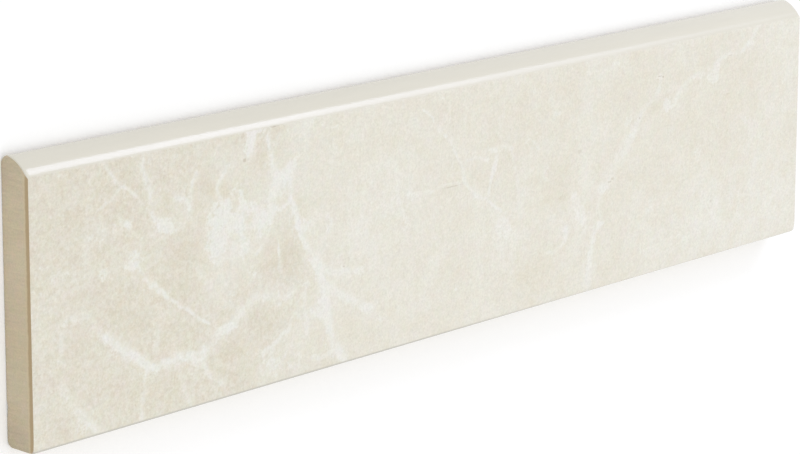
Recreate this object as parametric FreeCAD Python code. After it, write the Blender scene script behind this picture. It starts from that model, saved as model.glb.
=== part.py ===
import FreeCAD
import Part
import math
import os

# Bullnose trim tile of fired clay, lying on its back. X runs along its length, +Y points to the
# rounded edge and -Y to the square edge, and +Z points out of the glazed face. The back lies on
# Z = 0, and the origin is at the middle of the tile's footprint. Millimetres and degrees.

# Overall size
LENGTH = 330.0
HEIGHT = 72.25
THICKNESS = 9.1

# Rounded edge: one arc centred on the plane of the back, which meets the face at a soft crease and
# reaches on from there, measured along the face
NOSE_REACH = 5.5
CREASE_RADIUS = 0.8
NOSE_BACK_RADIUS = 2.7

# Square edge: it leans in towards the back, as a pressed tile's edge does
EDGE_DRAFT = 3.5
EDGE_FACE_RADIUS = 1.05
EDGE_BACK_RADIUS = 1.8

# Groove along the back, near the square edge, with one gentle side and one steep side
GROOVE_FROM_EDGE = 10.6
GROOVE_DEPTH = 0.38
GROOVE_GENTLE_RUN = 3.2
GROOVE_STEEP_RUN = 1.4

square_edge_y = -HEIGHT / 2
nose_radius = (THICKNESS**2 + NOSE_REACH**2) / (2 * NOSE_REACH)
nose_centre_y = (
    HEIGHT / 2
    - NOSE_BACK_RADIUS
    - math.sqrt((nose_radius - NOSE_BACK_RADIUS) ** 2 - NOSE_BACK_RADIUS**2)
)


def at(y, z):
    """A point of the section, which lies in the plane of the tile's left end."""
    return FreeCAD.Vector(-LENGTH / 2, y, z)


def rounding_in_nose(radius, z):
    """Centre of a small rounding at height z that touches the nose from inside, and that touch point."""
    across = math.sqrt((nose_radius - radius) ** 2 - z**2)
    reach = nose_radius / (nose_radius - radius)
    return at(nose_centre_y + across, z), at(nose_centre_y + across * reach, z * reach)


def arc(start, centre, end):
    """The shorter arc about centre from start to end."""
    middle = (start - centre) + (end - centre)
    middle.normalize()
    return Part.Arc(start, centre + middle * (start - centre).Length, end).toShape()


def line(start, end):
    return Part.LineSegment(start, end).toShape()


def nose_edges():
    """From the face over the crease, the nose and its back rounding to the back."""
    crease_centre, crease_end = rounding_in_nose(CREASE_RADIUS, THICKNESS - CREASE_RADIUS)
    back_centre, back_start = rounding_in_nose(NOSE_BACK_RADIUS, NOSE_BACK_RADIUS)
    nose_centre = at(nose_centre_y, 0)
    return [
        arc(at(crease_centre.y, THICKNESS), crease_centre, crease_end),
        arc(crease_end, nose_centre, back_start),
        arc(back_start, back_centre, at(back_centre.y, 0)),
    ]


def groove_edges(start):
    """From the end of the nose along the back, through the groove."""
    bottom_y = square_edge_y + GROOVE_FROM_EDGE
    steep_top = at(bottom_y + GROOVE_STEEP_RUN, 0)
    bottom = at(bottom_y, GROOVE_DEPTH)
    gentle_top = at(bottom_y - GROOVE_GENTLE_RUN, 0)
    return [line(start, steep_top), line(steep_top, bottom), line(bottom, gentle_top)]


def square_edges(start):
    """From the back round the square edge to the face: two roundings joined by a drafted line."""
    lean = math.radians(EDGE_DRAFT)
    outward = FreeCAD.Vector(0, -math.cos(lean), -math.sin(lean))
    face_centre = at(square_edge_y + EDGE_FACE_RADIUS, THICKNESS - EDGE_FACE_RADIUS)
    fall = face_centre.z - EDGE_BACK_RADIUS
    inset = (EDGE_BACK_RADIUS - EDGE_FACE_RADIUS + fall * math.sin(lean)) / math.cos(lean)
    back_centre = at(face_centre.y + inset, EDGE_BACK_RADIUS)
    back_touch = at(back_centre.y, 0)
    lean_start = back_centre + outward * EDGE_BACK_RADIUS
    lean_end = face_centre + outward * EDGE_FACE_RADIUS
    face_touch = at(face_centre.y, THICKNESS)
    return [
        line(start, back_touch),
        arc(back_touch, back_centre, lean_start),
        line(lean_start, lean_end),
        arc(lean_end, face_centre, face_touch),
    ]


def bullnose_tile():
    """The section, walked from the crease round the back to the face, drawn out along the length."""
    edges = nose_edges()
    edges += groove_edges(edges[-1].lastVertex(True).Point)
    edges += square_edges(edges[-1].lastVertex(True).Point)
    edges.append(line(edges[-1].lastVertex(True).Point, edges[0].firstVertex(True).Point))
    section = Part.Face(Part.Wire(edges))
    return section.extrude(FreeCAD.Vector(LENGTH, 0, 0))


os.makedirs("parts", exist_ok=True)
bullnose_tile().exportStep("parts/bullnose_tile.step")
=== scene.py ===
import math

import bpy
import numpy as np
from mathutils import Matrix, Vector, noise


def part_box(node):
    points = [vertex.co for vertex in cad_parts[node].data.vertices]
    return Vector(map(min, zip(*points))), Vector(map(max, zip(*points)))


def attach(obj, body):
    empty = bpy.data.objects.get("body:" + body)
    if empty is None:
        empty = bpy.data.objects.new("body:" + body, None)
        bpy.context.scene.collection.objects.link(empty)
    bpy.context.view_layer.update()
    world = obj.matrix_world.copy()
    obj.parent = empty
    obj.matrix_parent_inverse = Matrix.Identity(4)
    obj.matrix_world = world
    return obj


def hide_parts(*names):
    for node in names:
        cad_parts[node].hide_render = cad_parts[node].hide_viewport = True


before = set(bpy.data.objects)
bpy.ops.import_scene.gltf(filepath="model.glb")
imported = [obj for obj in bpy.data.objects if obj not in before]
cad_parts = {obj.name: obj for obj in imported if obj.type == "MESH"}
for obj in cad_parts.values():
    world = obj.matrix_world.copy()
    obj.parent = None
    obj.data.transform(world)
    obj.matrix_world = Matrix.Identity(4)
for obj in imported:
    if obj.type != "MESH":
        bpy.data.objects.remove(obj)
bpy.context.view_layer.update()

NODE = "bullnose_tile"
SLOT = "glazed_clay"
MM = 0.001

# The tile's own sizes, in millimetres. The overall ones are read from the part in model.glb.
low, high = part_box(NODE)
LENGTH = (high.x - low.x) / MM
HEIGHT = 2 * min(high.y, -low.y) / MM
THICKNESS = (high.z - low.z) / MM
NOSE_REACH = 5.5
CREASE_RADIUS = 0.8
NOSE_BACK_RADIUS = 2.7
EDGE_DRAFT = math.radians(3.5)
EDGE_FACE_RADIUS = 1.05
EDGE_BACK_RADIUS = 1.8
GROOVE_FROM_EDGE = 10.6
GROOVE_DEPTH = 0.38
GROOVE_GENTLE_RUN = 3.2
GROOVE_STEEP_RUN = 1.4

NOSE_RADIUS = (THICKNESS**2 + NOSE_REACH**2) / (2 * NOSE_REACH)
NOSE_CENTRE_Y = HEIGHT / 2 - NOSE_BACK_RADIUS - math.sqrt(
    (NOSE_RADIUS - NOSE_BACK_RADIUS) ** 2 - NOSE_BACK_RADIUS**2
)
CREASE_Y = NOSE_CENTRE_Y + math.sqrt(NOSE_RADIUS**2 - THICKNESS**2)
SQUARE_EDGE_Y = -HEIGHT / 2

# Mesh and finish, in millimetres
STATION = 1.0
FACE_STEP = 0.75
BACK_STEP = 3.0
GLAZE_DIP = 0.09
BEAD_FROM_EDGE = 1.3
BEAD_WIDTH = 1.1
GLAZE_ARRIS = 0.13
CLAY_ARRIS = 0.3
WORN_CORNER_LEFT = 0.35
WORN_CORNER_RIGHT = 0.9

# Thickness of the glaze on the nose, as it shows at the cut ends
NOSE_GLAZE = 0.38

# Zones of the section
FACE, NOSE, CLAY = "face", "nose", "clay"

# Pale veins of the marble print: width at the start and the end, strength, and points along the vein,
# as X and Y on the face in millimetres
VEINS = (
    (0.8, 0.7, 0.65, ((-140.5, 32), (-137.5, 28.5), (-135, 25.5), (-131.5, 23.5), (-126.5, 19.5))),
    (0.7, 0.6, 0.6, ((-132.5, 25), (-134.5, 24), (-137.5, 22), (-141.5, 20))),
    (1.4, 1.6, 0.3, ((-150, 24.5), (-146, 21.5), (-143.5, 18), (-141, 14))),
    (1.0, 1.3, 0.75, ((-126, 31.5), (-126.3, 28), (-125, 25), (-123.2, 21), (-122.8, 16), (-119, 13))),
    (0.8, 0.9, 0.4, ((-120, 11.5), (-125, 10.5), (-128, 8))),
    (0.9, 1.0, 0.85, ((-107, 23.7), (-108.7, 21), (-109.5, 18), (-109.5, 14.5))),
    (1.1, 1.0, 0.65, ((-115, 18.8), (-112, 17.5), (-109.5, 16.5))),
    (0.8, 0.7, 0.45, ((-116, 10.2), (-112.5, 11.5), (-109.5, 13.5))),
    (0.9, 1.0, 0.7, ((-134.5, 17), (-131.5, 14.3))),
    (0.9, 0.9, 0.35, ((-140, 4.5), (-136, 4.5), (-132, 5))),
    (0.7, 0.8, 0.65, ((-129.5, 4.5), (-127, 2), (-125, 0))),
    (0.8, 0.6, 0.95, ((-126, 0), (-121, -3.5), (-117, -7), (-112, -10), (-107, -13), (-103, -15))),
    (0.9, 0.8, 0.85, ((-125, -0.5), (-120.5, -3.8))),
    (0.8, 0.8, 0.65, ((-96, 23.6), (-98, 21), (-99.5, 19), (-98.3, 16), (-97, 14))),
    (1.3, 1.3, 0.4, ((-107, -0.5), (-104, -5), (-100.5, -8.5), (-97, -12))),
    (0.8, 0.7, 0.9, ((-79, 7.5), (-80, 4.5), (-82.5, 2), (-85, -0.5))),
    (2.2, 1.8, 0.95, ((-86, 31.5), (-86.8, 28.5), (-87.3, 25.2))),
    (0.8, 1.8, 0.9, ((-80.5, 29.5), (-79.7, 25.5), (-78.6, 21.5), (-76.5, 18))),
    (2.4, 2.2, 1.0, ((-77.5, 16.5), (-74.5, 18), (-71.5, 20))),
    (1.8, 1.5, 0.9, ((-76.5, 16.5), (-79.2, 14), (-80.2, 11.5))),
    (0.9, 0.9, 0.85, ((-79, 10.8), (-75.5, 10.2), (-72, 10.8))),
    (1.1, 1.4, 1.1, ((-71.3, 18), (-72, 14), (-71.6, 11), (-70, 7.5))),
    (1.3, 1.8, 1.3, ((-70.3, 8), (-68.6, 4), (-67.3, 0.8), (-65, -3), (-62, -7), (-60.5, -10))),
    (2.0, 1.4, 1.3, ((-60.5, -9), (-59, -14), (-58, -19), (-57, -24.5), (-55.5, -29.5), (-50, -36))),
    (1.2, 1.1, 0.7, ((-60, -8.5), (-56, -10), (-51, -11.2), (-45, -12))),
    (1.5, 1.2, 1.0, ((-60, -12.5), (-56, -14.7), (-51.5, -17.7), (-47, -19.5), (-43, -21.5), (-39.5, -23.5))),
    (1.2, 1.2, 1.0, ((-57.5, -23.5), (-60.5, -21.5), (-64, -19.5))),
    (0.8, 0.8, 0.75, ((-55, -32), (-59, -32.3), (-64, -31.8))),
    (0.4, 1.0, 0.9, ((-76.8, 1.8), (-76.4, -2.5), (-76, -6.5))),
    (0.9, 1.0, 0.5, ((-147.5, -5), (-144.5, -5.7), (-143, -8.5), (-140.5, -11.5))),
    (1.5, 1.7, 1.0, ((-140, -12), (-136.5, -14.5), (-132.5, -17.5), (-128.5, -20), (-125, -22))),
    (1.4, 1.5, 1.05, ((-125.5, -22), (-121, -22.7), (-116, -22.3), (-111, -22.7), (-106.5, -23.5), (-104, -21.5))),
    (1.2, 2.2, 0.65, ((-105, -22), (-101.5, -20), (-97.5, -18.2), (-94, -16.5), (-91, -14.5))),
    (1.6, 1.5, 0.55, ((-90.5, -14), (-86, -12), (-80, -12.5), (-75, -14), (-70, -12.5))),
    (1.0, 0.9, 0.65, ((-125.5, -23), (-127, -26), (-127.5, -29.5), (-128.3, -35.8))),
    (1.1, 0.8, 0.5, ((-115, -24), (-113.7, -27), (-112.3, -30), (-110.3, -35.5))),
    (1.2, 1.1, 0.65, ((-108, -24), (-105, -26), (-103, -28.5), (-98.5, -32))),
    (1.0, 1.0, 0.35, ((-101, -25.5), (-97, -27), (-92.5, -28.5))),
    (0.8, 0.8, 0.8, ((-73, -22.5), (-76, -24), (-79.5, -25.7), (-83, -27))),
    (0.8, 0.8, 0.45, ((-73, -23), (-72, -20), (-70.5, -18.3), (-68.5, -20))),
    (1.1, 1.1, 0.55, ((-67, -14), (-66.3, -19), (-66, -25))),
    (1.1, 2.2, 0.5, ((-155.3, -19.5), (-153.5, -24), (-150.5, -28), (-146.5, -32), (-141, -36.5))),
    (1.2, 1.2, 0.45, ((-155, -8), (-155.3, -15))),
    (1.0, 1.1, 0.45, ((-121.7, -13), (-121.8, -16), (-122.2, -19))),
    (1.1, 1.0, 0.4, ((-163, -9.5), (-158, -6.5), (-153, -5.3), (-147, -4.7))),
    (1.8, 1.6, 0.25, ((-146, 12), (-146.2, 8), (-145, 4))),
    (0.8, 0.9, 0.6, ((-58, 4.7), (-56, 3), (-57.5, 0.5))),
    (1.5, 1.2, 0.6, ((-55, 25.5), (-54, 22))),
    (0.9, 1.0, 0.65, ((-30, 14.5), (-29, 10), (-28.5, 5), (-26.5, 1))),
    (0.5, 0.5, 0.9, ((-18, 27.3), (-15.5, 26), (-13.5, 24))),
    (0.9, 0.9, 0.35, ((-13, 22.5), (-10, 21))),
    (0.55, 0.65, 0.85, ((-9, 19.5), (-6.5, 17), (-4.7, 14.5), (-2.7, 11.5), (-1, 8.5), (0, 5.8))),
    (0.65, 0.55, 0.95, ((-0.5, 6.5), (1, 4), (4, 1.3), (8, -1), (12, -3.3), (16.5, -6))),
    (0.4, 0.9, 0.55, ((-3, 5.5), (-8, 5.2), (-13, 5), (-18, 5), (-23, 5))),
    (0.5, 0.6, 0.5, ((0.5, 10.8), (4.5, 11.2), (9.5, 10))),
    (0.7, 0.9, 0.85, ((10.3, -0.3), (11.7, 3.5), (12.4, 6.5), (13.5, 9), (13.8, 11.5))),
    (0.9, 0.8, 0.55, ((11, 11.3), (14.5, 12.8), (18.5, 12), (20.8, 10.8))),
    (0.9, 0.8, 0.65, ((20.8, 10.8), (21.6, 8))),
    (0.9, 0.9, 0.4, ((22.3, 6), (23.7, 3), (23.5, 0), (27, -2))),
    (0.9, 1.0, 0.8, ((13.7, -9.3), (16, -8.3), (18.7, -9))),
    (1.0, 0.9, 0.7, ((45.5, -15), (46, -17.5), (44.5, -20), (41, -21.3), (38, -21.3))),
    (0.9, 1.2, 0.6, ((92, 22.5), (91, 18.5), (88.5, 16.5), (84, 14.5), (81, 11.5), (79, 8))),
    (2.0, 1.6, 0.5, ((79.5, 8.5), (76, 4.8), (72.5, 2), (69, -1.5), (65, -6))),
    (1.4, 1.1, 0.35, ((64, -6.5), (62, -9.5), (61.5, -13), (63, -16), (60.5, -18))),
    (1.0, 1.0, 1.0, ((63, -16.8), (60.3, -18.8), (59.3, -21.5), (58, -25))),
    (1.3, 1.4, 1.0, ((58, -24), (57.5, -28), (57.2, -32), (57, -36))),
    (2.2, 2.4, 0.3, ((49.5, -7), (51.5, -10.5), (53.5, -14), (56, -17.5))),
    (1.0, 0.9, 0.8, ((98, 13.5), (100, 15.5), (103, 17.5), (106, 19.3), (110, 20.2), (114, 20))),
    (0.9, 0.8, 0.6, ((116, 20.5), (119, 22), (122.5, 23.7), (127, 24.8), (131, 24.3), (135, 25))),
    (1.0, 0.9, 0.55, ((134, 25), (137.5, 27), (140.5, 29.5), (143.5, 32))),
)

# Pale patches of the print: centre X and Y, half-widths along X and Y, strength
PALE = (
    (-119, 12.6, 2.6, 1.8, 1.0), (-116.3, 11, 2.0, 1.2, 1.0), (-112, 18, 2.2, 1.2, 0.6),
    (-129.3, 5.8, 1.7, 2.3, 0.75), (-131.5, 4.2, 3.0, 1.5, 0.6), (-140.5, 3.8, 2.8, 1.7, 0.4),
    (-132, 14.6, 1.1, 1.2, 0.65), (-136.5, 14.8, 1.0, 1.0, 0.5), (-143, 13, 3.0, 1.4, 0.35),
    (-101.4, 13.4, 2.0, 2.2, 0.8), (-98, 12.3, 2.6, 3.6, 1.0), (-95.3, 13.6, 1.8, 2.0, 1.0), (-101.8, 9.8, 2.0, 2.2, 0.65),
    (-102.8, 5.8, 2.4, 2.2, 0.7), (-99, 7, 3.2, 2.4, 0.9), (-100.5, 3.6, 3.2, 2.6, 0.65), (-97, 4.5, 1.6, 2.0, 0.7),
    (-101.3, 0.8, 1.4, 1.6, 0.6), (-92.5, 8.5, 3.2, 2.6, 1.0), (-94.5, 10.2, 2.0, 1.8, 1.0),
    (-90.3, 14.5, 1.1, 2.6, 1.0), (-88.2, 12.3, 2.6, 1.5, 1.0), (-85.5, 11, 1.4, 0.9, 0.7),
    (-82.6, 7.6, 3.3, 3.2, 1.0), (-79.3, 9.8, 2.0, 1.5, 1.0), (-89.5, 1.8, 2.0, 2.6, 1.0), (-91, 4.5, 1.8, 1.6, 0.8),
    (-92.5, 17.5, 2.2, 1.6, 0.5), (-94, -9.5, 2.4, 1.5, 0.5), (-86, -5, 1.6, 3.5, 0.45),
    (-85, 31.3, 5.0, 0.8, 0.8), (-86.9, 28, 1.8, 3.0, 0.9), (-71.2, 20.3, 1.5, 1.6, 1.0), (-75.5, 13.5, 2.2, 1.6, 0.5), (-75, 17.8, 2.0, 1.6, 0.8),
    (-97.3, -17.8, 3.2, 1.3, 1.0), (-59.3, -19.5, 2.2, 3.0, 1.0), (-45, -12, 2.3, 1.0, 0.9),
    (-42, -22.3, 2.2, 1.3, 0.9), (-61, -8.8, 1.6, 1.5, 0.9), (-36, -27, 1.4, 1.6, 0.5),
    (-157, 6, 6.0, 5.0, 0.2), (-163.5, 8, 1.4, 12, 0.2), (-153, -6, 2.4, 1.2, 0.35), (-148, -33, 4.0, 1.6, 0.5),
    (-82, -31, 6.0, 3.2, 0.4), (-72, -31, 6.0, 2.8, 0.45), (-86, -28, 2.5, 2.5, 0.4),
    (-66, -10, 1.4, 4.0, 0.45), (-64, 4, 3.0, 1.8, 0.4), (-54, 28.5, 2.5, 0.9, 0.5), (-62, 29, 6.0, 2.5, 0.3),
    (-25.3, -1.7, 2.0, 2.2, 0.75), (-23.5, 5, 2.4, 1.3, 0.7), (-50, -7, 5.0, 3.0, 0.35), (-57.3, 3, 1.4, 1.3, 0.5),
    (-38, 10, 10, 8, 0.25), (12.7, 6.8, 1.1, 1.8, 0.85), (13.4, 11.8, 2.0, 0.9, 0.8), (9.5, 10, 1.4, 0.9, 0.6),
    (18.2, -11.6, 3.0, 2.6, 0.95), (16.3, -8.7, 2.0, 0.7, 0.8), (45.6, -17.6, 1.1, 2.2, 0.95), (41.4, 18.3, 1.8, 0.8, 0.75),
    (27.5, -2.5, 2.0, 0.9, 0.7), (54.2, -14, 3.4, 3.4, 0.7), (49.8, -7, 1.2, 1.4, 0.7), (64, -6.4, 2.4, 1.4, 1.0),
    (62.5, -16.8, 2.4, 0.8, 0.8), (78.5, 7.3, 2.0, 2.6, 0.5), (76, 11.5, 1.8, 1.5, 0.6), (95, 13.3, 1.9, 2.8, 1.0),
    (119, 18.5, 3.0, 2.1, 1.0), (120.5, 21.5, 1.6, 1.3, 0.7), (112.5, 17.5, 1.2, 1.0, 0.5), (137.5, 27, 2.2, 1.3, 0.75),
    (91, 22.3, 1.6, 0.9, 0.6), (137.3, 2.7, 2.2, 2.0, 0.6), (154, 12, 3.4, 2.0, 0.5), (57.6, 8, 0.9, 1.2, 0.6),
    (57.8, -27, 1.3, 4.0, 0.5), (86, -17, 3.0, 3.0, 0.4), (103, -28, 6.0, 4.0, 0.35), (121, 2.5, 2.6, 1.4, 0.5),
    (128, -22, 14.0, 7.0, 0.3), (155, -22, 9.0, 9.0, 0.3), (112, -4, 6.0, 4.0, 0.3), (152, 22, 2.4, 2.0, 0.5),
    (-12, 30, 5.0, 1.2, 0.3), (30, 27, 6.0, 2.0, 0.3), (68, 28, 9.0, 2.6, 0.35), (-4, -24, 2.2, 1.0, 0.5),
    (30, 12, 5.0, 4.0, 0.35), (84, -28, 4.0, 3.0, 0.35),
)

# Darker, browner patches of the print, in the same form. They also break up the pale patches.
DARK = (
    (-80, -3, 5.0, 5.2, 0.6), (-71.5, -3.5, 4.4, 5.2, 0.62), (-80.5, 1, 2.2, 2.0, 0.5), (-82, -19, 4.8, 4.6, 0.8),
    (-83, 23.5, 3.6, 3.6, 0.75), (-76, 25, 1.4, 2.6, 0.65), (-96.7, 18, 1.5, 1.9, 1.0), (-99.2, 15.2, 0.6, 1.3, 0.8),
    (-93.4, 4.6, 1.6, 0.9, 1.0), (-88.2, 8.6, 1.3, 0.6, 0.8), (-96.3, -1.5, 1.6, 1.4, 0.9), (-93.8, 12.5, 0.8, 0.5, 0.6),
    (-101.3, 12, 0.6, 0.5, 0.6), (-86.3, 3.5, 1.2, 2.0, 0.5), (-101.5, 19, 2.4, 2.2, 0.8), (-105, 22, 4.0, 3.5, 0.6),
    (-117.5, 17.5, 2.6, 2.6, 0.75), (-94, -27, 5.5, 5.5, 0.65), (-88, -31, 3.5, 3.0, 0.6), (-97, -24, 3.0, 2.5, 0.5),
    (-85, -17, 3.0, 3.0, 0.5), (-59, -28, 3.0, 3.0, 0.8), (-127, 21, 2.0, 3.0, 0.4), (-132, 28, 2.5, 2.0, 0.4),
    (-128, -10, 5.0, 4.0, 0.5), (-112, 5, 7.0, 4.5, 0.55), (-110, -6, 4.0, 4.0, 0.5), (-112, -15, 6.0, 3.5, 0.4),
    (-118, -28, 4.0, 3.0, 0.5), (-126, 13, 2.2, 2.0, 0.45), (-142, 0, 5.0, 2.0, 0.35), (-75, -18, 3.0, 3.0, 0.4),
    (-92, -5, 2.0, 2.5, 0.4), (-101, -9.5, 3.0, 2.5, 0.5), (-98, -13, 3.0, 2.0, 0.4), (-137, 18, 2.4, 2.0, 0.4), (-150, -13, 5.0, 4.0, 0.3),
    (-137, -27, 4.0, 4.0, 0.4), (-90, -10, 1.0, 2.4, 0.6), (-107, 15, 2.0, 2.4, 0.5), (-147, 0, 5.0, 2.4, 0.45),
    (43, -1, 4.0, 5.0, 0.45), (44.3, -6.2, 2.4, 1.0, 1.0), (52.2, 5.8, 1.0, 0.6, 0.9), (45, -9.3, 1.2, 0.6, 0.8),
    (40, 3.5, 1.6, 2.6, 0.6), (46, 3.5, 2.0, 2.0, 0.4), (126.5, 11.8, 2.0, 1.4, 0.8), (122.7, 9, 1.4, 1.0, 0.6),
    (88.5, 13.3, 3.2, 1.6, 0.65), (97, -2.5, 2.6, 1.2, 0.6), (26.5, -26, 3.5, 2.5, 0.6), (38, -26, 3.4, 2.0, 0.5),
    (2, -5, 2.6, 1.6, 0.45), (8, 23, 8.0, 5.0, 0.3), (-52.7, 22.7, 2.0, 0.8, 0.8), (-52.5, 19.8, 2.2, 0.8, 0.6),
    (-61, 9, 1.8, 1.0, 0.8), (-63, 21, 2.6, 6.0, 0.5), (139.8, 8.3, 2.0, 1.0, 0.6), (49, -17, 1.3, 2.4, 0.6),
    (77, 16.5, 2.4, 1.0, 0.5), (61.5, -23, 1.2, 2.4, 0.5), (-18.5, 19, 1.3, 1.0, 0.6), (122.5, -12.8, 1.2, 0.8, 0.6),
    (108, -10, 2.0, 1.2, 0.5), (160, -3, 2.6, 2.2, 0.5), (133, -8, 3.0, 2.0, 0.4), (114, 4, 3.4, 1.0, 0.5),
)

# Broad shades of the ground: centre X and Y, half-widths along X and Y, how much paler
SHADES = (
    (-94, 4, 13, 9, 0.26), (-80, 12, 9, 9, 0.16), (-74, 21, 9, 10, 0.18), (-97, 26, 9, 7, 0.3),
    (-97, -6, 9, 7, 0.16), (-112, 27, 10, 4, 0.06), (-67, -29, 12, 7, 0.28), (-82, -32, 8, 4, 0.22),
    (-66, -14, 5, 10, 0.16), (-80, -11, 9, 3, 0.14), (-113, 16, 8, 6, 0.16), (-143, 14, 8, 10, 0.1),
    (-148, -24, 9, 8, -0.06), (-66, 24, 5, 8, 0.08), (108, 22, 26, 8, -0.1), (130, 12, 30, 8, -0.06),
    (8, 15, 20, 12, -0.15), (125, -24, 40, 10, 0.12), (30, -26, 16, 7, -0.19), (144, 26, 8, 6, -0.06),
    (-158, 26, 6, 8, 0.2), (-92, 13, 16, 7, 0.12), (-86, 2, 12, 6, 0.2), (-55, 25, 11, 8, -0.2),
    (-8, 26, 14, 6, -0.14), (66, 27, 18, 6, 0.11), (-18, 2, 10, 8, 0.1), (41, 0, 10, 9, -0.15),
    (-25, -30, 9, 5, -0.1), (160, 18, 5, 12, 0.1), (-53, 3, 9, 5, -0.07), (0, -19, 12, 7, -0.09),
    (72, -22, 6, 8, -0.1), (144, 3, 7, 5, -0.06), (-134, 4, 7, 5, 0.08), (-132, -18, 5, 5, 0.06), (-157, 3, 6, 6, -0.05), (-96, 7, 10, 8, 0.07),
)

# Small dark marks in the print: centre X and Y, half-widths along X and Y, strength
FLECKS = (
    (-77.6, 31.5, 1.9, 0.2, 0.6), (-89.3, 24.4, 0.6, 0.4, 0.38), (66.9, -5.3, 0.7, 0.3, 0.25),
    (68.4, -4.5, 0.7, 0.35, 0.25), (91.2, 22.4, 0.9, 0.18, 0.4), (92.8, 22.0, 0.5, 0.2, 0.4),
    (44.6, -6.4, 1.6, 0.5, 0.1), (52.3, 5.7, 0.8, 0.5, 0.14), (126.6, 12.5, 0.9, 0.3, 0.18),
    (-5.5, 4.6, 3.6, 0.15, 0.25), (81.3, 11.3, 0.4, 0.3, 0.3), (127.6, 24.1, 0.7, 0.16, 0.3),
    (-51.0, -9.7, 0.5, 0.2, 0.25), (118.5, -19.0, 0.6, 0.4, 0.18),
)
VEIN_LAYERS = 6
VEIN_CLEARANCE = 6.0
VEIN_REACH = 3.0
HALO = 1.0
HALO_STRENGTH = 0.08
FLAKES_BY_VEINS = 0.28
TONE_LEFT = 0.28
TONE_MIDDLE = 0.68
TONE_RIGHT = 0.63


def srgb(red, green, blue):
    """A colour as it is seen on screen, 0 to 255, as linear RGBA."""
    def linear(value):
        value /= 255
        return value / 12.92 if value <= 0.04045 else ((value + 0.055) / 1.055) ** 2.4

    return linear(red), linear(green), linear(blue), 1.0


# The section: rows of (y, z, outward normal, zone), walked from the face over the nose and round the back


def arc_rows(centre, radius, start, end, count, zone):
    """Rows on an arc about centre, angles in degrees from +Y towards +Z, without the first one."""
    rows = []
    for i in range(1, count + 1):
        angle = math.radians(start + (end - start) * i / count)
        along, up = math.cos(angle), math.sin(angle)
        rows.append((centre[0] + radius * along, centre[1] + radius * up, (along, up), zone))
    return rows


def flat_rows(start, end, step, zone):
    """Rows on a straight run from start to end, without the first one. The outside is on its left."""
    run, rise = end[0] - start[0], end[1] - start[1]
    size = math.hypot(run, rise)
    count = max(1, round(size / step))
    outward = (rise / size, -run / size)
    outward = (-outward[0], -outward[1])
    return [
        (start[0] + run * i / count, start[1] + rise * i / count, outward, zone)
        for i in range(1, count + 1)
    ]


def nose_rounding(radius, z):
    """Centre of a rounding inside the nose at height z, and the angle at which it touches the nose."""
    across = math.sqrt((NOSE_RADIUS - radius) ** 2 - z**2)
    return (NOSE_CENTRE_Y + across, z), math.degrees(math.atan2(z, across))


def section():
    """All rows, closed: the last one is the one before the first."""
    crease, crease_angle = nose_rounding(CREASE_RADIUS, THICKNESS - CREASE_RADIUS)
    back, back_angle = nose_rounding(NOSE_BACK_RADIUS, NOSE_BACK_RADIUS)
    nose = (NOSE_CENTRE_Y, 0.0)
    lean = math.degrees(EDGE_DRAFT)
    face_edge = (SQUARE_EDGE_Y + EDGE_FACE_RADIUS, THICKNESS - EDGE_FACE_RADIUS)
    fall = face_edge[1] - EDGE_BACK_RADIUS
    inset = (EDGE_BACK_RADIUS - EDGE_FACE_RADIUS + fall * math.sin(EDGE_DRAFT)) / math.cos(EDGE_DRAFT)
    back_edge = (face_edge[0] + inset, EDGE_BACK_RADIUS)
    groove_y = SQUARE_EDGE_Y + GROOVE_FROM_EDGE

    rows = arc_rows(crease, CREASE_RADIUS, 90, crease_angle, 6, FACE)
    rows += arc_rows(nose, NOSE_RADIUS, crease_angle, back_angle, 24, NOSE)
    rows += arc_rows(back, NOSE_BACK_RADIUS, back_angle, -90, 10, NOSE)
    rows += flat_rows((back[0], 0), (groove_y + GROOVE_STEEP_RUN, 0), BACK_STEP, CLAY)
    rows += flat_rows((groove_y + GROOVE_STEEP_RUN, 0), (groove_y, GROOVE_DEPTH), 0.5, CLAY)
    rows += flat_rows((groove_y, GROOVE_DEPTH), (groove_y - GROOVE_GENTLE_RUN, 0), 0.6, CLAY)
    rows += flat_rows((groove_y - GROOVE_GENTLE_RUN, 0), (back_edge[0], 0), 1.5, CLAY)
    rows += arc_rows(back_edge, EDGE_BACK_RADIUS, -90, -180 + lean, 7, CLAY)
    side_low, side_high = rows[-1], arc_rows(face_edge, EDGE_FACE_RADIUS, 0, 180 + lean, 1, CLAY)[0]
    rows += flat_rows(side_low[:2], side_high[:2], 0.9, CLAY)
    rows += arc_rows(face_edge, EDGE_FACE_RADIUS, 180 + lean, 90, 7, FACE)
    rows += flat_rows((face_edge[0], THICKNESS), (crease[0], THICKNESS), FACE_STEP, FACE)
    return rows


def wave(x, y, z, size, seed):
    """Smooth noise from -1 to 1 with bumps about size apart."""
    return noise.noise(Vector((x / size + seed, y / size, z / size)))


def glaze_dip(x, y, zone):
    """How far the glaze of the face lies under the part's outline: not at all near the edges, where it
    gathers into a bead."""
    if zone != FACE:
        return 0.0
    from_edge = min(CREASE_Y - y, y - SQUARE_EDGE_Y, LENGTH / 2 - abs(x))
    bead = math.exp(-((max(0, from_edge - BEAD_FROM_EDGE) / BEAD_WIDTH) ** 2))
    return GLAZE_DIP * (1 - bead) * (0.8 + 0.4 * wave(x, y, 0, 28, 3.1))


def arris(x, y, z, zone):
    """Width of the worn edge round an end of the tile."""
    size = GLAZE_ARRIS if zone != CLAY else CLAY_ARRIS
    size *= 1 + 0.35 * wave(x, y, z, 2.3, 7.7)
    corner = math.hypot(y - SQUARE_EDGE_Y, z - THICKNESS)
    worn = WORN_CORNER_RIGHT if x > 0 else WORN_CORNER_LEFT
    size += worn * math.exp(-((corner / 1.6) ** 2))
    return size


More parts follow.
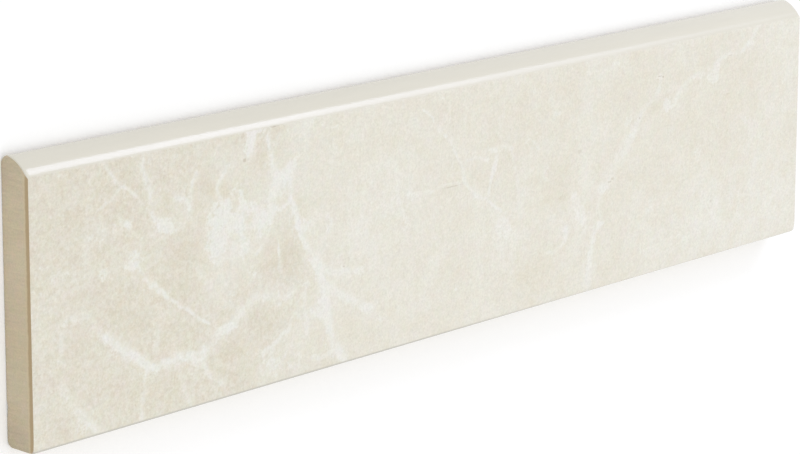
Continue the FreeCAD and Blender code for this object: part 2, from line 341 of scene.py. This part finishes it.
def tile_mesh():
    """The whole tile as one closed mesh, in metres: rows swept along X, worn edges and flat ends."""
    rows = section()
    steps = round((LENGTH - 2 * STATION) / STATION)
    stations = [-LENGTH / 2 + STATION + i * (LENGTH - 2 * STATION) / steps for i in range(steps + 1)]
    turns = (1.0, 0.66, 0.33, 0.0)

    def ring(x, worn):
        points = []
        for y, z, (ny, nz), zone in rows:
            dip = glaze_dip(x, y, zone)
            depth = dip
            place = x
            if worn is not None:
                size = arris(x, y, z, zone)
                angle = worn * math.pi / 2
                place = math.copysign(LENGTH / 2 - size * (1 - math.cos(angle)), x)
                depth = dip + size * (1 - math.sin(angle))
            points.append((place * MM, (y - ny * depth) * MM, (z - nz * depth) * MM))
        return points

    def inner(x):
        """A ring on the end's plane, a little inside the worn edge."""
        points = []
        for y, z, (ny, nz), zone in rows:
            depth = glaze_dip(x, y, zone) + arris(x, y, z, zone) + 0.25
            points.append((math.copysign(LENGTH / 2, x) * MM, (y - ny * depth) * MM, (z - nz * depth) * MM))
        return points

    left, right = -LENGTH / 2, LENGTH / 2
    rings = [inner(left)]
    rings += [ring(left, turn) for turn in reversed(turns)]
    rings += [ring(x, None) for x in stations]
    rings += [ring(right, turn) for turn in turns]
    rings.append(inner(right))

    count = len(rows)
    vertices = [point for points in rings for point in points]
    faces = []
    for i in range(len(rings) - 1):
        first, second = i * count, (i + 1) * count
        for j in range(count):
            k = (j + 1) % count
            faces.append((first + j, second + j, second + k, first + k))
    faces.append(tuple(range(count)))
    faces.append(tuple(reversed(range((len(rings) - 1) * count, len(rings) * count))))

    mesh = bpy.data.meshes.new(NODE + "_look")
    mesh.from_pydata(vertices, [], faces)
    mesh.update()
    return mesh


def curve(points):
    """Points along a smooth curve through the given points."""
    points = np.array(points, float)
    padded = np.vstack([2 * points[0] - points[1], points, 2 * points[-1] - points[-2]])
    smooth = []
    for i in range(1, len(padded) - 2):
        before, start, end, after = padded[i - 1:i + 3]
        for t in (0, 0.25, 0.5, 0.75):
            smooth.append(0.5 * (
                2 * start + (end - before) * t
                + (2 * before - 5 * start + 4 * end - after) * t**2
                + (3 * start - before - 3 * end + after) * t**3
            ))
    smooth.append(points[-1])
    return np.array(smooth)


def nearest(where, line):
    """For each place: signed distance to the line, how far along it that is, 0 to 1, and how far past
    either end."""
    starts, ends = line[:-1], line[1:]
    lengths = np.linalg.norm(ends - starts, axis=1)
    before = np.concatenate([[0.0], np.cumsum(lengths)[:-1]])
    best = np.full(len(where), np.inf)
    signed, along, past = np.zeros((3, len(where)))
    for i, (start, end) in enumerate(zip(starts, ends)):
        run = (end - start) / lengths[i]
        offset = where - start
        raw = offset @ run
        kept = np.clip(raw, 0, lengths[i])
        away = offset - kept[:, None] * run
        distance = np.hypot(away[:, 0], away[:, 1])
        side = np.where(run[0] * offset[:, 1] < run[1] * offset[:, 0], -1, 1)
        over = np.maximum(-raw if i == 0 else 0, raw - lengths[i] if i == len(starts) - 1 else 0)
        nearer = distance < best - 1e-9
        best[nearer] = distance[nearer]
        signed[nearer] = (distance * side)[nearer]
        along[nearer] = ((before[i] + kept) / lengths.sum())[nearer]
        past[nearer] = np.maximum(over, 0)[nearer] if np.ndim(over) else 0
    return signed, along, past


def vein_layers():
    """Veins as smooth lines, sorted into layers so that within a layer none comes near another."""
    layers = [[] for _ in range(VEIN_LAYERS)]
    for start_width, end_width, strength, points in VEINS:
        line = curve(points)
        room = [
            min((np.abs(nearest(line, other[3])[0]).min() for other in layer), default=1e3)
            for layer in layers
        ]
        free = [i for i, gap in enumerate(room) if gap >= VEIN_CLEARANCE]
        layers[free[0] if free else int(np.argmax(room))].append((start_width, end_width, strength, line))
    return layers


def warped(where):
    """The places, pushed about a little, so that straight runs wander as veins do."""
    moved = np.array(where)
    for i, (x, y) in enumerate(where):
        moved[i, 0] += 0.6 * wave(x, y, 0, 6, 11.0) + 0.4 * wave(x, y, 0, 2.2, 13.0)
        moved[i, 1] += 0.6 * wave(x, y, 0, 6, 17.0) + 0.4 * wave(x, y, 0, 2.2, 19.0)
    return moved


def patches(where, blobs):
    """How strongly each place lies in the patches, 0 to 1."""
    clear = np.ones(len(where))
    for x, y, wide, tall, strength in blobs:
        distance = np.hypot((where[:, 0] - x) / wide, (where[:, 1] - y) / tall)
        part = np.clip((1.8 - distance) / 1.5, 0, 1)
        clear *= 1 - strength * part * part * (3 - 2 * part)
    return 1 - clear


def ground_tone(where):
    """How pale the print's ground is, 0 to 1: darkest left of its main vein."""
    from_vein = where[:, 0] + 64 + 0.22 * where[:, 1]
    left = 1 / (1 + np.exp(from_vein / 2.2))
    right = TONE_MIDDLE + (TONE_RIGHT - TONE_MIDDLE) * np.clip((where[:, 0] + 20) / 180, 0, 1)
    right -= 0.06 * np.exp(-(((where[:, 0] - 38) / 22) ** 2))
    tone = left * TONE_LEFT + (1 - left) * right
    for x, y, wide, tall, change in SHADES:
        tone += change * np.exp(-(((where[:, 0] - x) / wide) ** 2) - ((where[:, 1] - y) / tall) ** 2)
    return tone


def paint_marble(mesh):
    """Writes the print's veins and clouds to the mesh, for the glaze's shader to work from."""
    places = np.empty(len(mesh.vertices) * 3, np.float32)
    mesh.vertices.foreach_get("co", places)
    places = places.reshape(-1, 3) / MM
    face = np.flatnonzero((places[:, 2] > THICKNESS - 2.5) & (np.abs(places[:, 0]) < LENGTH / 2 + 1))
    where = warped(places[face, :2])
    halo = np.zeros(len(face))

    for number, layer in enumerate(vein_layers()):
        field = np.zeros((len(places), 3), np.float32)
        field[:] = (VEIN_REACH, 0, 1)
        nearest_yet = np.full(len(face), np.inf)
        for start_width, end_width, strength, line in layer:
            close = np.all((where > line.min(0) - 6) & (where < line.max(0) + 6), axis=1)
            close = np.flatnonzero(close)
            signed, along, past = nearest(where[close], line)
            width = start_width + (end_width - start_width) * along
            distance = np.abs(signed)
            glow = strength * np.clip(width / 1.4, 0, 1) * np.exp(-((distance / (width + HALO)) ** 2))
            halo[close] = np.maximum(halo[close], glow)
            fade = np.clip((VEIN_REACH - distance) / 1.2, 0, 1) * np.clip(1 - past / (0.8 * width + 0.4), 0, 1)
            taken = distance < np.minimum(nearest_yet[close], VEIN_REACH)
            nearest_yet[close[taken]] = distance[taken]
            chosen = face[close[taken]]
            field[chosen, 0] = signed[taken]
            field[chosen, 1] = (strength * fade)[taken]
            field[chosen, 2] = width[taken]
        layer_data = mesh.attributes.new(f"vein_{number}", "FLOAT_VECTOR", "POINT")
        layer_data.data.foreach_set("vector", field.ravel())

    clouds = np.zeros((len(places), 3), np.float32)
    clouds[face, 1] = patches(where, DARK)
    clouds[face, 0] = patches(where, PALE) - 0.7 * clouds[face, 1] + FLAKES_BY_VEINS * halo
    clouds[:, 2] = ground_tone(places)
    clouds[face, 2] += HALO_STRENGTH * halo
    mesh.attributes.new("clouds", "FLOAT_VECTOR", "POINT").data.foreach_set("vector", clouds.ravel())


class Nodes:
    """Short names for building a material's nodes."""

    def __init__(self, material):
        self.tree = material.node_tree
        self.tree.nodes.clear()

    def put(self, socket, value):
        if isinstance(value, bpy.types.NodeSocket):
            self.tree.links.new(value, socket)
        else:
            socket.default_value = value

    def math(self, operation, first, second=0.0, clamp=False):
        node = self.tree.nodes.new("ShaderNodeMath")
        node.operation = operation
        node.use_clamp = clamp
        self.put(node.inputs[0], first)
        self.put(node.inputs[1], second)
        return node.outputs[0]

    def add(self, first, second):
        return self.math("ADD", first, second)

    def times(self, first, second):
        return self.math("MULTIPLY", first, second)

    def ramp(self, value, start, end, low=0.0, high=1.0, smooth=True):
        """low where value is at start, high where it is at end, and held beyond them."""
        node = self.tree.nodes.new("ShaderNodeMapRange")
        node.interpolation_type = "SMOOTHSTEP" if smooth else "LINEAR"
        self.put(node.inputs["Value"], value)
        self.put(node.inputs["From Min"], start)
        self.put(node.inputs["From Max"], end)
        self.put(node.inputs["To Min"], low)
        self.put(node.inputs["To Max"], high)
        return node.outputs["Result"]

    def blend(self, factor, first, second):
        """From the first colour to the second as factor goes from 0 to 1."""
        node = self.tree.nodes.new("ShaderNodeMix")
        node.data_type = "RGBA"
        self.put(node.inputs[0], factor)
        self.put(node.inputs[6], first)
        self.put(node.inputs[7], second)
        return node.outputs[2]

    def tinted(self, colour, tint):
        """The colour multiplied by the tint."""
        node = self.tree.nodes.new("ShaderNodeMix")
        node.data_type = "RGBA"
        node.blend_type = "MULTIPLY"
        node.inputs[0].default_value = 1.0
        self.put(node.inputs[6], colour)
        self.put(node.inputs[7], tint)
        return node.outputs[2]

    def place(self):
        """Object coordinates in millimetres."""
        coordinates = self.tree.nodes.new("ShaderNodeTexCoord")
        node = self.tree.nodes.new("ShaderNodeVectorMath")
        node.operation = "SCALE"
        self.put(node.inputs[0], coordinates.outputs["Object"])
        node.inputs["Scale"].default_value = 1 / MM
        return node.outputs[0]

    def stretched(self, place, along):
        node = self.tree.nodes.new("ShaderNodeVectorMath")
        node.operation = "MULTIPLY"
        self.put(node.inputs[0], place)
        node.inputs[1].default_value = along
        return node.outputs[0]

    def shifted(self, place, offset):
        node = self.tree.nodes.new("ShaderNodeVectorMath")
        node.operation = "ADD"
        self.put(node.inputs[0], place)
        node.inputs[1].default_value = offset
        return node.outputs[0]

    def size(self, vector):
        node = self.tree.nodes.new("ShaderNodeVectorMath")
        node.operation = "LENGTH"
        self.put(node.inputs[0], vector)
        return node.outputs["Value"]

    def parts(self, vector):
        node = self.tree.nodes.new("ShaderNodeSeparateXYZ")
        self.put(node.inputs[0], vector)
        return node.outputs

    def noise(self, place, size, detail=2.0, rough=0.5, distortion=0.0):
        """Noise with features about size millimetres apart, roughly 0.2 to 0.8 round 0.5."""
        node = self.tree.nodes.new("ShaderNodeTexNoise")
        self.put(node.inputs["Vector"], place)
        node.inputs["Scale"].default_value = 1 / size
        node.inputs["Detail"].default_value = detail
        node.inputs["Roughness"].default_value = rough
        node.inputs["Distortion"].default_value = distortion
        return node.outputs["Fac"]

    def centred(self, value, amount):
        """Noise about 0.5 turned into a push of up to about amount either way."""
        return self.times(self.add(value, -0.5), 2 * amount)

    def field(self, name):
        node = self.tree.nodes.new("ShaderNodeAttribute")
        node.attribute_name = name
        return self.parts(node.outputs["Vector"])

    def dimmed(self, colour, amount):
        """The colour with its brightness multiplied by amount."""
        node = self.tree.nodes.new("ShaderNodeHueSaturation")
        self.put(node.inputs["Color"], colour)
        self.put(node.inputs["Value"], amount)
        return node.outputs[0]

    def bump(self, height):
        """A normal from a height in millimetres."""
        node = self.tree.nodes.new("ShaderNodeBump")
        node.inputs["Distance"].default_value = MM
        self.put(node.inputs["Height"], height)
        return node.outputs[0]

    def surface(self, colour, roughness, normal):
        shader = self.tree.nodes.new("ShaderNodeBsdfPrincipled")
        self.put(shader.inputs["Base Color"], colour)
        self.put(shader.inputs["Roughness"], roughness)
        self.put(shader.inputs["Normal"], normal)
        shader.inputs["IOR"].default_value = 1.5
        output = self.tree.nodes.new("ShaderNodeOutputMaterial")
        self.put(output.inputs["Surface"], shader.outputs[0])


# The print's colours, from its darkest ground to its palest vein, with their places on a scale of 0 to 1
PRINT_COLOURS = (
    (0.0, srgb(218.3, 210.7, 192.7)),
    (0.2, srgb(222.8, 216.7, 200.2)),
    (0.4, srgb(226.4, 221.7, 207)),
    (0.6, srgb(229, 225.5, 212.5)),
    (0.8, srgb(232, 230, 219.5)),
    (1.0, srgb(234.3, 233.2, 225.3)),
)
PINK_TINT = (1.018, 0.991, 1, 1)
GREEN_TINT = (0.982, 1.009, 1, 1)
YELLOW_TINT = (1, 1.005, 0.976, 1)
BLUE_TINT = (1, 0.995, 1.024, 1)
FLECK = srgb(165, 150, 128)
NOSE_CREAM = srgb(226.5, 222.7, 209)
CLAY_TAN = srgb(208.5, 195, 167.5)
CLAY_OLIVE = srgb(204, 191, 162)
CLAY_PINK = srgb(214, 196, 172)
BROWN = srgb(181, 159, 124)
GOLD = srgb(214, 197, 160)
# Colour of the painted shade along the rounding of the square edge
EDGE_SHADE_COLOUR = srgb(195, 192, 181)


def new_material(name):
    material = bpy.data.materials.new(name)
    material.use_nodes = True
    return material, Nodes(material)


def vein_mask(n, place, spots):
    """All layers of veins, broken up at their edges."""
    coarse = n.noise(n.shifted(place, (3, 61, 8)), 3.0, 2, 0.6)
    patchy = n.ramp(n.noise(n.shifted(place, (5, 41, 9)), 3.4, 2, 0.6), 0.34, 0.6, 0.4, 1.1)
    wobble = n.add(n.centred(coarse, 0.9), n.centred(spots, 1.2))
    clear = None
    for number in range(VEIN_LAYERS):
        offset, strength, width = n.field(f"vein_{number}")
        distance = n.math("ABSOLUTE", n.add(offset, n.times(wobble, n.times(width, 0.6))))
        core = n.ramp(n.math("DIVIDE", distance, width), 1.5, 0.1)
        left = n.math("SUBTRACT", 1.0, n.times(core, n.times(strength, patchy)), clamp=True)
        clear = left if clear is None else n.times(clear, left)
    return n.math("SUBTRACT", 1.0, clear, clamp=True)


def fleck_mask(n, place, spots):
    """The small dark marks, each an ellipse with a slightly ragged outline."""
    clear = None
    for x, y, wide, tall, strength in FLECKS:
        local = n.stretched(n.shifted(place, (-x, -y, -THICKNESS)), (1 / wide, 1 / tall, 0.1))
        ragged = n.add(n.size(local), n.centred(spots, 0.8))
        left = n.math("SUBTRACT", 1.0, n.ramp(ragged, 1.3, 0.7, 0.0, strength))
        clear = left if clear is None else n.times(clear, left)
    return n.math("SUBTRACT", 1.0, clear, clamp=True)


def toward(n, value, goal, share):
    """value moved to goal by the share, 0 to 1."""
    return n.add(value, n.times(n.math("SUBTRACT", goal, value), share))


def hue_drift(n, place, offset, middle, strength, first, second):
    """A tint that wanders between two tints in patches and specks."""
    own_place = n.shifted(place, offset)
    wander = n.add(n.centred(n.noise(own_place, 5.0, 2, 0.6), 0.85), n.centred(n.noise(own_place, 1.5, 2, 0.6), 0.85))
    return n.blend(n.add(middle, n.times(wander, strength)), first, second)


def marble(n, place, x):
    """The printed face. One scale from dark ground to pale vein carries clouds, patches and veins, and two
    drifts of hue lie over it, from green to pink and from blue to yellow."""
    pale, dark, tone = n.field("clouds")
    clouds = n.noise(place, 17, 1, 0.5)
    blotches = n.noise(n.shifted(place, (17, 3, 1)), 5.0, 2, 0.6)
    spots = n.noise(n.shifted(place, (2, 29, 5)), 1.4, 2, 0.75)
    specks = n.noise(n.shifted(place, (7, 2, 5)), 0.6, 1, 0.7)
    flakes = n.noise(n.shifted(place, (23, 9, 2)), 2.6, 2, 0.6)

    drift = n.add(n.centred(clouds, 0.28), n.centred(blotches, 0.34))
    grain = n.times(n.centred(spots, 1.0), n.ramp(tone, 0.3, 0.62, 0.32, 0.1))
    mottle = n.ramp(n.noise(n.shifted(place, (41, 5, 12)), 1.9, 3, 0.75), 0.42, 0.58, -1.0, 1.0)
    mottle = n.times(mottle, n.ramp(tone, 0.3, 0.62, 0.115, 0.02))
    level = n.add(n.add(tone, drift), n.add(grain, mottle))
    torn = n.add(n.add(n.centred(blotches, 1.1), n.centred(flakes, 0.6)), n.centred(spots, 0.7))
    dark = n.ramp(n.add(dark, torn), 0.15, 0.85)
    level = n.add(level, n.times(dark, -0.2))
    ragged = n.add(n.add(n.centred(blotches, 0.5), n.centred(flakes, 0.6)), n.centred(spots, 0.8))
    ragged = n.add(ragged, n.ramp(x, -75, -50, 0.06, 0.0))
    level = toward(n, level, 1.0, n.times(n.ramp(n.add(pale, ragged), 0.3, 0.95), 0.85))
    level = toward(n, level, 1.02, n.times(vein_mask(n, place, spots), 0.95))

    pinkness = n.ramp(x, -75, -50, 0.49, 0.64)
    yellowness = n.ramp(x, -75, -50, 0.5, 0.67)
    hue_strength = n.ramp(x, -75, -50, 1.1, 0.85)
    scale = n.tree.nodes.new("ShaderNodeValToRGB")
    stops = scale.color_ramp.elements
    stops[0].position, stops[1].position = 0.0, 1.0
    for position, _ in PRINT_COLOURS[1:-1]:
        stops.new(position)
    for stop, (_, colour) in zip(stops, PRINT_COLOURS):
        stop.color = colour
    n.put(scale.inputs["Fac"], level)

    colour = n.tinted(scale.outputs["Color"], hue_drift(n, place, (13, 7, 31), pinkness, hue_strength, GREEN_TINT, PINK_TINT))
    colour = n.tinted(colour, hue_drift(n, place, (5, 17, 23), yellowness, hue_strength, BLUE_TINT, YELLOW_TINT))

    sand = n.add(n.centred(specks, 0.118), n.times(n.centred(spots, 1.0), n.ramp(tone, 0.3, 0.62, 0.06, 0.08)))
    colour = n.dimmed(colour, n.add(1.0, sand))
    return n.blend(fleck_mask(n, place, spots), colour, FLECK), specks


def clay(n, place, x, y, z):
    """Fired clay: warm tan, mottled, with fine lines across the cut ends, and its height in millimetres."""
    broad = n.noise(place, 14, 2, 0.5)
    medium = n.noise(n.shifted(place, (9, 4, 2)), 2.2, 3, 0.65)
    fine = n.noise(n.shifted(place, (1, 2, 3)), 0.5, 2, 0.7)
    lines = n.noise(n.stretched(place, (1, 1, 0.1)), 0.8, 2, 0.7)
    colour = n.blend(n.ramp(broad, 0.35, 0.65), CLAY_TAN, CLAY_OLIVE)
    colour = n.blend(n.times(n.ramp(medium, 0.42, 0.7), 0.6), colour, CLAY_PINK)

    on_end = n.ramp(n.math("ABSOLUTE", x), LENGTH / 2 - 0.6, LENGTH / 2 - 0.3)
    shade = n.add(n.centred(fine, 0.18), n.times(n.centred(lines, 0.12), on_end))
    outer = n.math("ABSOLUTE", n.math("DIVIDE", y, HEIGHT / 2))
    # Darker towards both edges of the section, along the back of the cut ends and towards the square edge
    shade = n.add(shade, n.ramp(outer, 0.6, 1.0, 0.0, -0.07))
    shade = n.add(shade, n.times(n.ramp(z, 1.0, 0.2, 0.0, -0.05), on_end))
    shade = n.add(shade, n.ramp(y, -24, -34, 0.0, -0.035))
    # Painted shade: the cut ends are darkest at their square corner
    shade = n.add(shade, n.times(n.ramp(y, -33.3, -35.3, 0.0, -0.045), on_end))
    colour = n.dimmed(colour, n.add(1.0, shade))
    colour = n.tinted(colour, hue_drift(n, place, (31, 2, 4), 0.5, 1.6, GREEN_TINT, PINK_TINT))
    colour = n.tinted(colour, hue_drift(n, place, (6, 22, 9), 0.5, 1.9, BLUE_TINT, YELLOW_TINT))

    edge = n.add(z, n.centred(medium, 0.35))
    under_glaze = n.ramp(y, CREASE_Y + 1.6, CREASE_Y + 0.2)
    gold = n.times(n.ramp(edge, THICKNESS - 2.1, THICKNESS - 1.5), under_glaze)
    brown = n.times(n.ramp(edge, THICKNESS - 1.5, THICKNESS - 0.85), under_glaze)
    colour = n.blend(n.times(gold, 0.5), colour, GOLD)
    colour = n.blend(n.times(brown, 0.95), colour, BROWN)

    height = n.add(n.centred(fine, 0.012), n.centred(medium, 0.02))
    height = n.add(height, n.times(n.centred(lines, 0.01), on_end))
    return colour, height


def tile_material():
    material, n = new_material(SLOT)
    place = n.place()
    x, y, z = n.parts(place)
    printed, specks = marble(n, place, x)
    body, body_height = clay(n, place, x, y, z)
    ragged = n.noise(n.shifted(place, (3, 3, 50)), 1.8, 3, 0.6)

    on_nose = n.ramp(n.add(y, n.centred(ragged, 0.3)), CREASE_Y + 0.1, CREASE_Y + 0.6)
    streaks = n.noise(n.stretched(place, (0.1, 1, 1)), 3.0, 2, 0.55)
    nose = n.dimmed(NOSE_CREAM, n.add(1.0, n.centred(streaks, 0.03)))
    glazed = n.blend(on_nose, printed, nose)
    # Painted shade along the rounding of the square edge, strong at the left end and fading out towards the right
    edge_shade = n.times(n.ramp(y, SQUARE_EDGE_Y + 0.95, SQUARE_EDGE_Y + 0.5), n.ramp(x, 85, -25, 0.05, 0.9))
    glazed = n.blend(edge_shade, glazed, EDGE_SHADE_COLOUR)

    lowest = n.ramp(y, -1, 1, THICKNESS - 1.3, 0.9)
    above = n.add(n.math("SUBTRACT", z, lowest), n.centred(ragged, 0.9))
    coat = n.ramp(above, -0.15, 0.15)
    from_nose_centre = n.size(n.stretched(n.shifted(place, (0, -NOSE_CENTRE_Y, 0)), (0, 1, 1)))
    cut_thickness = n.ramp(y, CREASE_Y - 0.2, CREASE_Y + 1.2, 0.0, NOSE_GLAZE)
    cut_glaze = n.add(from_nose_centre, n.add(cut_thickness, n.centred(ragged, 0.1)))
    cut_glaze = n.ramp(cut_glaze, NOSE_RADIUS - 0.06, NOSE_RADIUS + 0.06)
    cut_glaze = n.times(cut_glaze, n.ramp(y, CREASE_Y - 0.4, CREASE_Y - 0.2))
    uncut = n.ramp(n.math("ABSOLUTE", x), LENGTH / 2 - 0.01, LENGTH / 2 - 0.05)
    coat = n.times(coat, n.math("MAXIMUM", uncut, cut_glaze))
    colour = n.blend(coat, body, glazed)

    peel = n.noise(n.shifted(place, (8, 8, 8)), 3.5, 1, 0.5)
    glaze_height = n.add(n.centred(peel, 0.006), n.centred(specks, 0.0006))
    height = n.add(n.times(coat, glaze_height), n.times(n.math("SUBTRACT", 1.0, coat), body_height))
    glaze_roughness = n.ramp(on_nose, 0.0, 1.0, 0.27, 0.13)
    roughness = n.add(0.8, n.times(coat, n.add(glaze_roughness, -0.8)))
    n.surface(colour, roughness, n.bump(height))
    return material


def build_tile():
    mesh = tile_mesh()
    paint_marble(mesh)
    mesh.materials.append(tile_material())
    mesh.shade_smooth()
    mesh.set_sharp_from_angle(angle=math.radians(32))
    tile = bpy.data.objects.new(NODE + "_look", mesh)
    bpy.context.scene.collection.objects.link(tile)
    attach(tile, "root")
    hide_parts(NODE)
    return tile


def build_floor():
    """A pale floor that reads as white to the camera and keeps the tile's shadow."""
    size = 4.0
    mesh = bpy.data.meshes.new("floor")
    corners = [(-size, -size, 0), (size, -size, 0), (size, size, 0), (-size, size, 0)]
    mesh.from_pydata(corners, [], [(0, 1, 2, 3)])
    floor = bpy.data.objects.new("floor", mesh)
    floor.location.z = -0.05 * MM
    material, n = new_material("floor_white")
    diffuse = n.tree.nodes.new("ShaderNodeBsdfDiffuse")
    diffuse.inputs["Color"].default_value = (0.86, 0.86, 0.86, 1)
    glow = n.tree.nodes.new("ShaderNodeEmission")
    path = n.tree.nodes.new("ShaderNodeLightPath")
    mirrored = n.math("MAXIMUM", path.outputs["Is Glossy Ray"], path.outputs["Is Transmission Ray"])
    seen = n.times(path.outputs["Is Camera Ray"], FLOOR_GLOW)
    n.put(glow.inputs["Strength"], n.add(seen, n.times(mirrored, MIRRORED_GLOW)))
    both = n.tree.nodes.new("ShaderNodeAddShader")
    n.put(both.inputs[0], diffuse.outputs[0])
    n.put(both.inputs[1], glow.outputs[0])
    output = n.tree.nodes.new("ShaderNodeOutputMaterial")
    n.put(output.inputs["Surface"], both.outputs[0])
    mesh.materials.append(material)
    bpy.context.scene.collection.objects.link(floor)


def build_world():
    """Even white surroundings. The camera and reflections see full white."""
    world = bpy.data.worlds.new("studio")
    bpy.context.scene.world = world
    world.use_nodes = True
    nodes, links = world.node_tree.nodes, world.node_tree.links
    background = nodes["Background"]
    background.inputs["Color"].default_value = (1, 1, 1, 1)
    path = nodes.new("ShaderNodeLightPath")
    seen = nodes.new("ShaderNodeMath")
    seen.operation = "MAXIMUM"
    seen_too = nodes.new("ShaderNodeMath")
    seen_too.operation = "MAXIMUM"
    links.new(path.outputs["Is Camera Ray"], seen.inputs[0])
    links.new(path.outputs["Is Transmission Ray"], seen.inputs[1])
    links.new(seen.outputs[0], seen_too.inputs[0])
    links.new(path.outputs["Is Glossy Ray"], seen_too.inputs[1])
    strength = nodes.new("ShaderNodeMapRange")
    strength.inputs["To Min"].default_value = AMBIENT
    strength.inputs["To Max"].default_value = 1.0
    links.new(seen_too.outputs[0], strength.inputs["Value"])
    links.new(strength.outputs[0], background.inputs["Strength"])


def area_light(name, place, target, wide, tall, radiance):
    """A soft box that shines on target. Its strength is given as the radiance of its surface."""
    light = bpy.data.lights.new(name, "AREA")
    light.shape = "RECTANGLE"
    light.size = wide
    light.size_y = tall
    light.energy = radiance * math.pi * wide * tall
    lamp = bpy.data.objects.new(name, light)
    lamp.location = place
    away = Vector(place) - Vector(target)
    lamp.rotation_euler = away.to_track_quat("Z", "Y").to_euler()
    bpy.context.scene.collection.objects.link(lamp)
    return light


# How much the floor glows for the camera, and in mirrored or refracted rays
FLOOR_GLOW = 0.18
MIRRORED_GLOW = 0.12

# Light, as radiance, where 1 shows as white. The window is a row of panes that stands along the rounded
# edge and draws the highlight on it. It rises a little and grows dimmer from its first pane to its last.
AMBIENT = 0.82
KEY = 0.9
WINDOW_COLOUR = (0.94, 0.985, 1.26)
WINDOW_PLACE = (0.4, 0.65, 0.245)
WINDOW_RISE = 0.15
PANE_WIDTH, PANE_HEIGHT = 0.11, 0.25
WINDOW_PANES = (3.5, 3.6, 3.5, 2.8, 2.1, 1.5, 1.0, 0.4)


def build_lights():
    area_light("key", (-0.1, -0.25, 1.5), (0, 0, 0), 1.2, 1.2, KEY)
    for number, radiance in enumerate(WINDOW_PANES):
        along = (number + 0.5) * PANE_WIDTH
        x, y = WINDOW_PLACE[0] + along, WINDOW_PLACE[1]
        z = WINDOW_PLACE[2] + WINDOW_RISE * along + PANE_HEIGHT / 2
        pane = area_light(f"pane_{number}", (x, y, z), (x, 0, z), PANE_WIDTH, PANE_HEIGHT, radiance)
        pane.color = WINDOW_COLOUR


# The camera of the photograph: its place in millimetres, the directions of the picture's right and up,
# and its focal length in pixels of a picture 800 wide
CAMERA_PLACE = (-714.9, 188.9, 577.2)
PICTURE_RIGHT = (0.63746, 0.00114, 0.77048)
PICTURE_UP = (0.16138, 0.97762, -0.13496)
FOCAL_PIXELS = 3413.6
PICTURE_WIDTH = 800
SENSOR = 36.0


def build_camera():
    camera = bpy.data.cameras.new("camera")
    camera.sensor_width = SENSOR
    camera.lens = FOCAL_PIXELS * SENSOR / PICTURE_WIDTH
    camera.clip_end = 20
    eye = bpy.data.objects.new("camera", camera)
    right = Vector(PICTURE_RIGHT).normalized()
    back = right.cross(Vector(PICTURE_UP)).normalized()
    up = back.cross(right)
    turn = Matrix((right, up, back)).transposed().to_4x4()
    eye.matrix_world = Matrix.Translation(Vector(CAMERA_PLACE) * MM) @ turn
    bpy.context.scene.collection.objects.link(eye)
    bpy.context.scene.camera = eye


bpy.context.scene.view_settings.view_transform = "Standard"
build_tile()
build_floor()
build_world()
build_lights()
build_camera()
